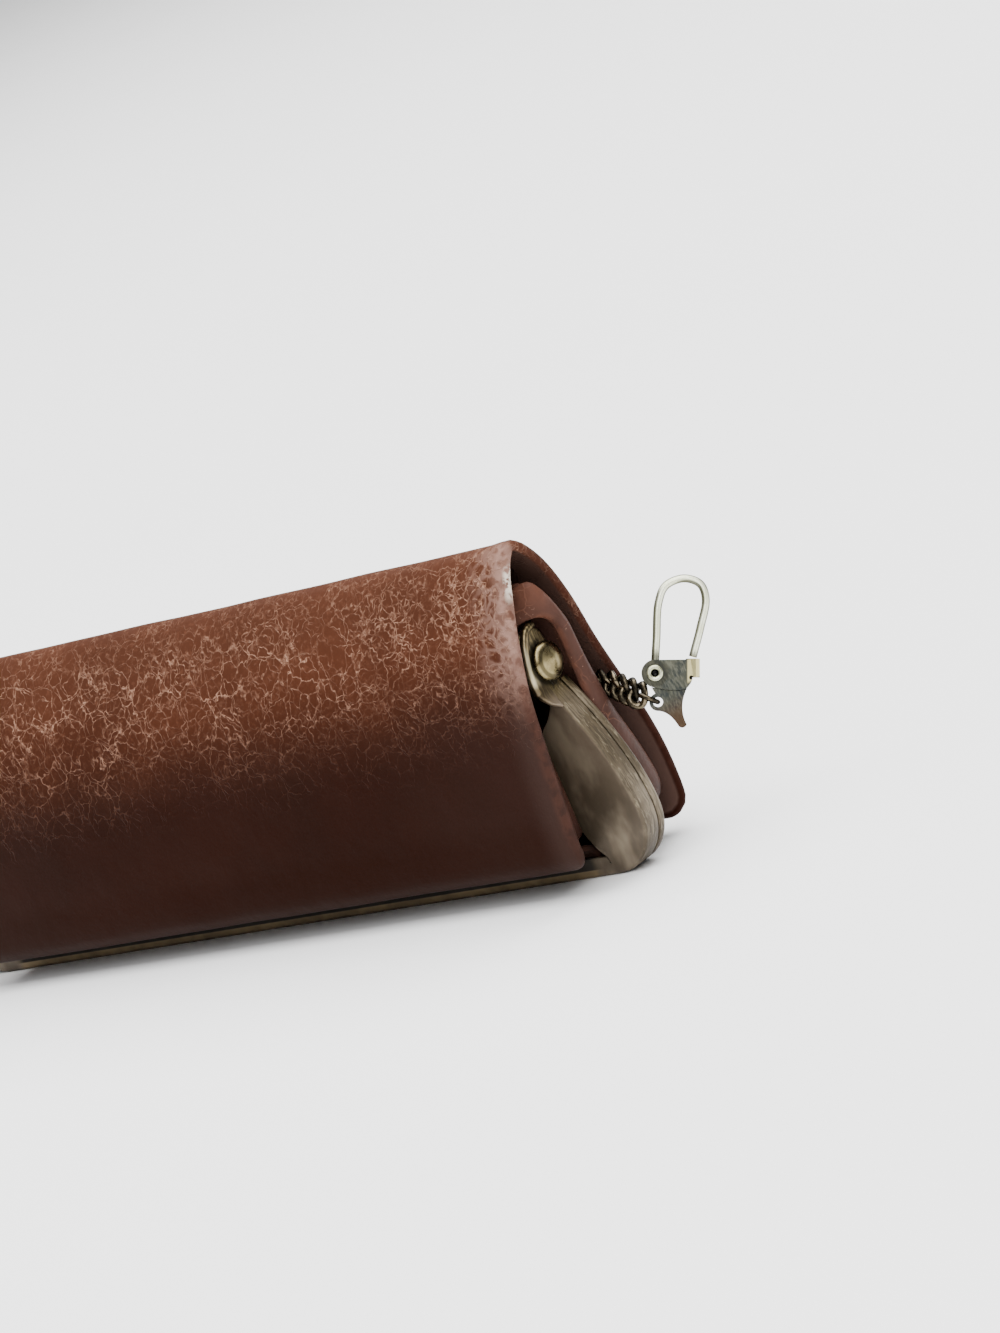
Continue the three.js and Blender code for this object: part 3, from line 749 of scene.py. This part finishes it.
# Camera, light and floor
def aim_camera():
    turn, rise, roll = (math.radians(angle) for angle in (camera_turn, camera_rise, camera_roll))
    out = Vector((math.sin(turn) * math.cos(rise), -math.cos(turn) * math.cos(rise), math.sin(rise)))
    right = Vector((math.cos(turn), math.sin(turn), 0))
    across = math.cos(roll) * right + math.sin(roll) * out.cross(right)
    above = out.cross(across)
    lens = bpy.data.cameras.new("camera")
    lens.sensor_fit = "HORIZONTAL"
    lens.sensor_width = sensor_width
    lens.lens = lens_length
    lens.clip_end = view_end * MM
    camera = bpy.data.objects.new("camera", lens)
    bpy.context.scene.collection.objects.link(camera)
    place = Matrix.Translation((camera_target + out * camera_distance) * MM)
    camera.matrix_world = place @ Matrix((across, above, out)).transposed().to_4x4()
    bpy.context.scene.camera = camera


def soft_light(name, place, towards, width, power):
    """A square panel of light."""
    lamp = bpy.data.lights.new(name, "AREA")
    lamp.size = width * MM
    lamp.energy = power
    made = bpy.data.objects.new(name, lamp)
    bpy.context.scene.collection.objects.link(made)
    made.location = Vector(place) * MM
    made.rotation_euler = (Vector(towards) - Vector(place)).to_track_quat("-Z", "Y").to_euler()


def light_studio():
    world = bpy.data.worlds.new("studio")
    bpy.context.scene.world = world
    world.use_nodes = True
    sky = world.node_tree.nodes["Background"]
    sky.inputs["Color"].default_value = (1, 1, 1, 1)
    sky.inputs["Strength"].default_value = sky_strength
    soft_light("top_light", place=(0, 400, 2600), towards=(0, 100, 0), width=4400, power=400)
    soft_light("end_light", place=(900, -750, 750), towards=(100, 0, 30), width=700, power=9)


def lay_floor():
    steps = [floor_half * (2 * k / floor_fields - 1) for k in range(floor_fields + 1)]
    mould = Mould()
    mould.rings([[(x, y, 0) for x in steps] for y in steps], closed=False)
    mould.made("floor", floor_paper())


# Leather pieces
def make_cover():
    def half_length(d, length):
        short = max(cover_corner - min(d, length - d), 0)
        return half_cover - cover_corner + math.sqrt(cover_corner**2 - short**2)

    def from_ends(x, d, length):
        side = half_cover - abs(x)
        foot = min(d, length - d)
        if side < cover_corner and foot < cover_corner:
            return cover_corner - math.hypot(cover_corner - side, cover_corner - foot)
        return min(side, foot)

    line = folded_line(cover_rows, cover_top, cover_back_heights)
    whole = line_length(line)

    def swell(x, part, p):
        """How far the leather stands out, part of the way round from the front hem."""
        flare = max(abs(x) - flare_start, 0) / (half_cover - flare_start)
        by_fold = max(1 - 5 * abs(part - 0.5), 0)
        on_back = min(max(8 * (part - 0.5), 0), 1)
        hemmed = half_cover - abs(x) < end_hem or part * whole < foot_hem
        uneven = sum(rise * wave(x, p.y, p.z, size) for rise, size in cover_waves)
        return uneven + back_fullness * on_back + flare_rise * flare * flare * by_fold + hem_rise * hemmed

    mould = bent_shell(line, half_length, cover_thickness, cover_step, from_ends, swell)
    mould.piece("leather_cover", cover_leather(), "wallet", "outer_cover", "cover_leather")


def make_pouch(leather):
    line = folded_line(pouch_rows, pouch_top)
    places = evenly(line, [k / pouch_places for k in range(pouch_places + 1)])

    def half_length(d, length):
        foot = min(d, length - d)
        end = leather_end(places[round(pouch_places * d / length)].y)
        wall = end - gusset_thickness - gusset_seat
        return lip_half + (wall - lip_half) * eased((foot - lip_length + lip_turn) / lip_turn)

    def from_ends(x, d, length):
        return min(half_length(d, length) - abs(x), min(d, length - d))

    mould = bent_shell(line, half_length, pouch_thickness, pouch_step, from_ends)
    mould.piece("leather_pouch", leather, "wallet", "pouch", "pouch_leather")


def leather_end(y):
    """How far out the pouch's end stands: drawn in at the front, full at the back."""
    turned_out = eased((y - end_turn[0]) / (end_turn[1] - end_turn[0]))
    return gusset_ends[0] + (gusset_ends[1] - gusset_ends[0]) * turned_out


def make_gusset(name, node, end, leather):
    fractions = [k / gusset_steps for k in range(gusset_steps + 1)]
    slot = evenly(folded_line(slot_rows, slot_top), fractions)
    panel = evenly(folded_line(gusset_rows, gusset_top), fractions)
    length = line_length(panel)

    def place(i, j):
        a, b = slot[i], panel[i]
        u = fractions[i]
        v = gusset_columns[j]
        wide = (b - a).length
        p = a.lerp(b, v)
        bulge = gusset_bulge * math.sin(math.pi * v) ** bulge_fullness
        slope = gusset_bulge * math.pi * math.cos(math.pi * v) / max(wide, narrowest_gusset)
        aside = (b - a).normalized() * -slope
        normal = (Vector((end, 0, 0)) + aside).normalized()
        edge = min(v * wide, (1 - v) * wide, u * length, (1 - u) * length)
        middle = Vector((end * (leather_end(p.y) + bulge - gusset_thickness / 2), p.y, p.z))
        return middle, normal, edge

    mould = Mould()
    mould.shell(place, len(fractions), len(gusset_columns), gusset_thickness)
    made_outward(mould).piece(name, leather, "wallet", node, "pouch_leather")


# Frame
def arm_line():
    """The frame's outer line and the flange's inner line, from the bar up the arm."""
    a, b, c, d = (Vector((p[0], 0, p[1])) for p in (arm_foot, *arm_pull, arm_head))
    outer = [Vector((flange_rows[0][0], 0, 0)), Vector((corner_centre, 0, 0))]
    for k in range(1, corner_steps + 1):
        angle = math.radians(90 * k / corner_steps - 90)
        x = corner_centre + corner_radius * math.cos(angle)
        outer.append(Vector((x, 0, corner_radius + corner_radius * math.sin(angle))))
    for k in range(1, arm_steps + 1):
        t = k / arm_steps
        s = 1 - t
        outer.append(s**3 * a + 3 * s * s * t * b + 3 * s * t * t * c + t**3 * d)
    inner = smooth_line([(x, 0, z) for x, z in flange_rows])
    fractions = [k / frame_steps for k in range(frame_steps + 1)]
    return evenly(outer, fractions), evenly(inner, fractions)


def arm_out(z):
    """How far the arm stands out at a height."""
    outer = arm_line()[0]
    best = min((p for p in outer if p.z > corner_radius), key=lambda p: abs(p.z - z))
    return best.x if z < arm_head[1] else arm_head[0]


def with_mirror(half):
    """A line's left half and then the given right half, which starts in the middle."""
    return [Vector((-p.x, p.y, p.z)) for p in reversed(half[1:])] + half


def frame_section(rim, root, inward, depth):
    """Points round the metal from its rim to the flange's root, each with its depth from the face."""
    back = (rim - root).normalized()
    ridge = rim + inward * rim_rounding
    section = [(root + back * metal_lip, 0.0), (root.lerp(ridge, 0.5), 0.0), (ridge, 0.0)]
    for angle in (18, 36, 54, 72, 90):
        t = math.radians(angle)
        section.append((rim + inward * rim_rounding * (1 - math.sin(t)), rim_rounding * (1 - math.cos(t))))
    section += [
        (rim, depth - metal_lip),
        (rim + inward * lip_corner, depth - lip_corner),
        (rim + inward * metal_lip, depth),
        (rim + inward * (rim_metal - metal_nick), depth),
        (rim + inward * rim_metal, depth - metal_nick),
        (rim + inward * rim_metal, flange_metal + metal_nick),
        (root + back * metal_lip, flange_metal),
        (root + back * lip_corner, flange_metal - lip_corner),
        (root, flange_metal / 2),
        (root + back * lip_corner, lip_corner),
    ]
    return section


def frame_rings(side, seam):
    """Sections of a frame half along its whole line."""
    outer, inner = arm_line()
    outer = with_mirror([Vector((x, 0, 0)) for x in bar_places] + outer)
    inner = with_mirror([Vector((x, 0, bar_height)) for x in bar_places] + inner)
    face = frame_depth * side
    rings = []
    for k, (rim, root) in enumerate(zip(outer, inner)):
        along = (outer[min(k + 1, len(outer) - 1)] - outer[max(k - 1, 0)]).normalized()
        inward = Vector((-along.z, 0, along.x))
        if (root - rim).length < narrowest_flange:
            root = rim + inward * narrowest_flange
        section = frame_section(rim, root, inward, abs(face - seam))
        rings.append([Vector((p.x, face - side * depth, p.z)) for p, depth in section])
    return rings


def ear_plate(mould, outline, low, high, end, bend):
    """A plate with a rounded edge, of an outline seen from the wallet's end."""
    count = len(outline)
    middle = sum(outline, Vector((0, 0, 0))) / count
    insets = []
    for k in range(count):
        along = (outline[(k + 1) % count] - outline[k - 1]).normalized()
        inset = Vector((0, along.z, -along.y))
        if inset.dot(middle - outline[k]) < 0:
            inset = -inset
        insets.append(inset)
    shoulder = high - ear_rounding
    profile = [(ear_bevel, low), (0.0, low + ear_bevel), (0.0, shoulder)]
    for angle in (22, 45, 68, 90):
        t = math.radians(angle)
        profile.append((ear_rounding * (1 - math.cos(t)), shoulder + ear_rounding * math.sin(t)))
    rings = []
    for inset, x in profile:
        ring = []
        for p, side in zip(outline, insets):
            q = p + side * inset
            out = bend(q.z) if bend else 0.0
            ring.append(Vector((end * (x + out), q.y, q.z)))
        rings.append(ring)
    if end < 0:
        rings = [list(reversed(ring)) for ring in rings]
    mould.rings(rings, caps=True)


def ear_outline(rows, neck):
    curve = smooth_line([(0, y, z) for y, z in rows], 8)
    return curve + [Vector((0, y, z)) for y, z in neck]


def make_frames(brass):
    def bend(z):
        return arm_out(z) - arm_head[0]

    front = Mould()
    front.rings(frame_rings(-1, front_seam), caps=True)
    made_outward(front)
    front_outline = ear_outline(front_ear, front_ear_neck)
    roll_x = arm_head[0] - roll_inset[0]
    for end in (1, -1):
        ear = Mould()
        ear_plate(ear, front_outline, arm_head[0] - rim_metal, arm_head[0], end, bend)
        join(front, made_outward(ear))
        roll = smooth_line([(end * roll_x, y + roll_inset[1], z) for y, z in rolled_edge], 8)
        add_wire(front, roll, roll_radius, 12)
    front.piece("front_frame", brass, "wallet", "frame_front", "frame_brass", frame_crease)

    back = Mould()
    back.rings(frame_rings(1, back_seam), caps=True)
    made_outward(back)
    for end in (1, -1):
        ear = Mould()
        ear_plate(ear, ear_outline(back_ear, back_ear_neck), *back_ear_faces, end, None)
        join(back, made_outward(ear))
    back.piece("back_frame", brass, "wallet", "frame_back", "frame_brass", frame_crease)


def join(mould, other):
    start = len(mould.points)
    mould.points += other.points
    mould.marks += other.marks
    mould.faces += [tuple(k + start for k in face) for face in other.faces]


def turned(profile, count=56):
    """Rings of a turned piece, of radius and height, about Z."""
    rings = []
    for radius, height in profile:
        ring = []
        for k in range(count):
            angle = 2 * math.pi * k / count
            ring.append(Vector((radius * math.cos(angle), radius * math.sin(angle), height)))
        rings.append(ring)
    return rings


def make_rivet(name, node, end, brass):
    place = Matrix.Translation((0, hinge_y, hinge_z)) @ Matrix.Rotation(math.radians(90 * end), 4, "Y")
    mould = Mould()
    profile = [(max(radius, pole_radius), height) for radius, height in rivet_profile]
    mould.rings([[place @ p for p in ring] for ring in turned(profile)], caps=True)
    made_outward(mould).piece(name, brass, "wallet", node, "frame_brass", rivet_crease)


# Chain and clip
def wire_rings(line, radius, sides, looped, flat=1.0, plane=None):
    """Rings of round wire along a line; flat widens it within the plane."""
    rings = []
    count = len(line)
    side = None
    for k in range(count):
        if looped:
            along = (line[(k + 1) % count] - line[k - 1]).normalized()
        else:
            along = (line[min(k + 1, count - 1)] - line[max(k - 1, 0)]).normalized()
        if plane is not None:
            side = along.cross(plane).normalized()
        elif side is None:
            side = along.orthogonal().normalized()
        else:
            side = (side - along * side.dot(along)).normalized()
        other = along.cross(side)
        ring = []
        for n in range(sides):
            angle = 2 * math.pi * n / sides
            ring.append(line[k] + side * radius * flat * math.cos(angle) + other * radius * math.sin(angle))
        rings.append(ring)
    return rings


def add_wire(mould, line, radius, sides=10, looped=False, flat=1.0, plane=None):
    part = Mould()
    part.rings(wire_rings(line, radius, sides, looped, flat, plane), looped=looped, caps=not looped)
    join(mould, made_outward(part))


def clip_place():
    turn = Matrix.Rotation(math.radians(clip_turn), 4, "Z")
    lean = Matrix.Rotation(math.radians(90 - clip_lean), 4, "X")
    roll = Matrix.Rotation(math.radians(clip_roll), 4, "Z")
    return Matrix.Translation(eyelet_centre) @ turn @ lean @ roll


def link_place(position, along, across):
    out = along.cross(across).normalized()
    side = out.cross(along)
    return Matrix.Translation(position) @ Matrix((along, side, out)).transposed().to_4x4()


def circle(radius, count=28):
    angles = [2 * math.pi * k / count for k in range(count)]
    return [Vector((radius * math.cos(a), radius * math.sin(a), 0)) for a in angles]


def make_chain(brass):
    link_half = (link_pitch + wire - link_bite) / 2
    place = clip_place()
    eye = place @ chain_eye
    face = (place.to_3x3() @ UPWARD).normalized()
    drop = (eye - pocket_mouth).normalized()
    eye_side = (drop - face * drop.dot(face)).normalized()
    ring_centre = eye - eye_side * end_ring
    ring_normal = face.cross(drop).normalized()
    hook = ring_centre + drop * (-end_ring + (wire + end_ring_wire) / 2 - link_bite)
    last = hook - drop * link_half
    route = smooth_line([last, pocket_mouth, pocket_inside, pocket_deep], 60)
    length = line_length(route)

    def at(k):
        return evenly(route, [k * link_pitch / length])[0]

    link = []
    for k in range(link_steps):
        angle = 2 * math.pi * k / link_steps
        wide = (link_width - wire) / 2 * math.sin(angle)
        link.append(Vector((link_half * math.cos(angle), wide, link_twist * math.sin(2 * angle))))
    mould = Mould()
    clip_ring = link_place(ring_centre, drop, face)
    add_wire(mould, [clip_ring @ p for p in circle(end_ring)], end_ring_wire / 2, looped=True)
    for k in range(link_count):
        along = (at(max(k - 0.5, 0)) - at(k + 0.5)).normalized()
        across = UPWARD.lerp(ring_normal, max(1 - k / unturned_link, 0)).normalized()
        spot = link_place(at(k), along, across)
        flat_side = spot.to_3x3() @ UPWARD
        placed = [spot @ p for p in link]
        add_wire(mould, placed, wire / 2, link_sides, looped=True, flat=link_flat, plane=flat_side)
    anchor = at(link_count - 1)
    anchor.x -= link_half + anchor_ring - (wire + end_ring_wire) / 2 + link_bite
    upright = Matrix.Translation(anchor) @ Matrix.Rotation(math.radians(90), 4, "X")
    add_wire(mould, [upright @ p for p in circle(anchor_ring)], end_ring_wire / 2, looped=True)
    mould.piece("curb_chain", brass, "wallet", "chain", "chain_brass")


def make_loop(brass):
    place = clip_place()
    path = smooth_line([(x, y, 0) for x, y in loop_path], 24)
    line = evenly(path, [k / loop_steps for k in range(loop_steps + 1)])
    normal = place.to_3x3() @ UPWARD
    mould = Mould()
    add_wire(mould, [place @ p for p in line], loop_wire / 2, loop_sides, flat=loop_flat, plane=normal)
    for k, p in enumerate(mould.points):
        off = (place.inverted() @ (p / MM) - line[k // loop_sides]) / (loop_wire / 2)
        mould.marks[k] = max(1 - abs(off.z), off.dot(loop_shaded_side))
    add_wire(mould, [place @ p for p in circle(loop_ring, 40)], loop_wire / 2, 12, looped=True)
    mould.piece("wire_loop", brass, "loop", "clip_loop", "clip_brass")


def make_eyelet(brass):
    place = clip_place()
    underside = [(radius, -height) for radius, height in eyelet_half]
    profile = underside + list(reversed(eyelet_half))
    mould = Mould()
    mould.rings([[place @ p for p in ring] for ring in turned(profile, 36)], caps=True)
    for k, p in enumerate(mould.points):
        mould.marks[k] = float((place.inverted() @ (p / MM)).xy.length > eyelet_bore)
    made_outward(mould).piece("eyelet_ring", brass, "wallet", "clip_eyelet", "clip_brass")


def dress_node(name, material):
    """A solid that keeps its shape, in a better finish."""
    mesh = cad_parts[name].data
    mesh.materials.clear()
    mesh.materials.append(material)


aim_camera()
light_studio()
lay_floor()
make_cover()
soft_leather = pouch_leather()
make_pouch(soft_leather)
make_gusset("end_gusset_right", "gusset_right", 1, soft_leather)
make_gusset("end_gusset_left", "gusset_left", -1, soft_leather)
old_brass = frame_brass()
make_frames(old_brass)
stud_brass = rivet_brass()
make_rivet("rivet_right", "hinge_rivet_right", 1, stud_brass)
make_rivet("rivet_left", "hinge_rivet_left", -1, stud_brass)
dress_node("frame_catch", old_brass)
dark_brass = chain_brass()
make_chain(dark_brass)
dress_node("chain_anchor", dark_brass)
pale_brass = clip_brass()
make_loop(pale_brass)
make_eyelet(eyelet_brass())
dress_node("clip_body", clip_body_brass())
